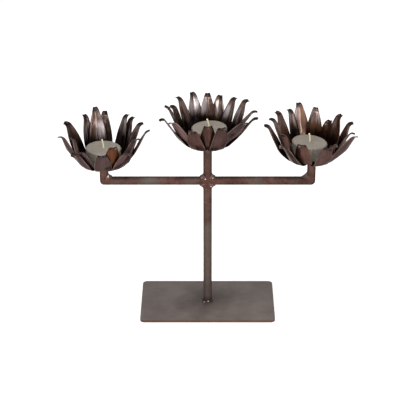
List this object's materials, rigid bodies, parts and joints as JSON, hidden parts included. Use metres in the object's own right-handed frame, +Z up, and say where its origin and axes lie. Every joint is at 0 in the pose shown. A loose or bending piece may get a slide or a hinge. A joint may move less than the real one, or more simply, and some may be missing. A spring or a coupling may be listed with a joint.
{
  "type": "tealight candelabra",
  "caption": "Iron lotus candelabra: a flat plate, a rod stem with crossing arms, and lotus flowers of hand bent sheet petals, each holding a lift-out tealight.",
  "frame": {"origin": "centre of the base plate's underside, on the surface it stands on", "axes": "+X along the arms toward the right flower, +Y toward the back, +Z up along the stem"},
  "size_m": [0.3237, 0.0932, 0.2455],
  "materials": {
    "plate_iron": "satin, grey brown wax patina",
    "rod_iron": "satin, reddish brown patina with olive patches",
    "petal_iron": "glossy lacquered coppery brown",
    "braze": "brown patina with bright spots",
    "clear_plastic": "clear",
    "wax": "cream wax",
    "wick": "waxed cotton",
    "tab": "bright"
  },
  "bodies": {
    "holder": {"base_plate": "plate_iron", "stem": "rod_iron", "left_arm": "rod_iron", "right_arm": "rod_iron", "left_riser": "rod_iron", "right_riser": "rod_iron", "base_weld": "braze", "cross_weld": "braze", "left_elbow_weld": "braze", "right_elbow_weld": "braze", "left_flower_weld": "braze", "left_outer_petals": "petal_iron", "left_inner_petals": "petal_iron", "left_plug_weld": "braze", "center_flower_weld": "braze", "center_outer_petals": "petal_iron", "center_inner_petals": "petal_iron", "center_plug_weld": "braze", "right_flower_weld": "braze", "right_outer_petals": "petal_iron", "right_inner_petals": "petal_iron", "right_plug_weld": "braze"},
    "left_tealight": {"left_cup": "clear_plastic", "left_wax": "wax", "left_wick": "wick", "left_wick_tab": "tab"},
    "center_tealight": {"center_cup": "clear_plastic", "center_wax": "wax", "center_wick": "wick", "center_wick_tab": "tab"},
    "right_tealight": {"right_cup": "clear_plastic", "right_wax": "wax", "right_wick": "wick", "right_wick_tab": "tab"}
  },
  "joints": [
    {"name": "left_tealight_lift", "type": "slide", "parent": "holder", "child": "left_tealight", "axis": [0, 0, 1], "range_m": [0, 0.06]},
    {"name": "center_tealight_lift", "type": "slide", "parent": "holder", "child": "center_tealight", "axis": [0, 0, 1], "range_m": [0, 0.06]},
    {"name": "right_tealight_lift", "type": "slide", "parent": "holder", "child": "right_tealight", "axis": [0, 0, 1], "range_m": [0, 0.06]}
  ]
}
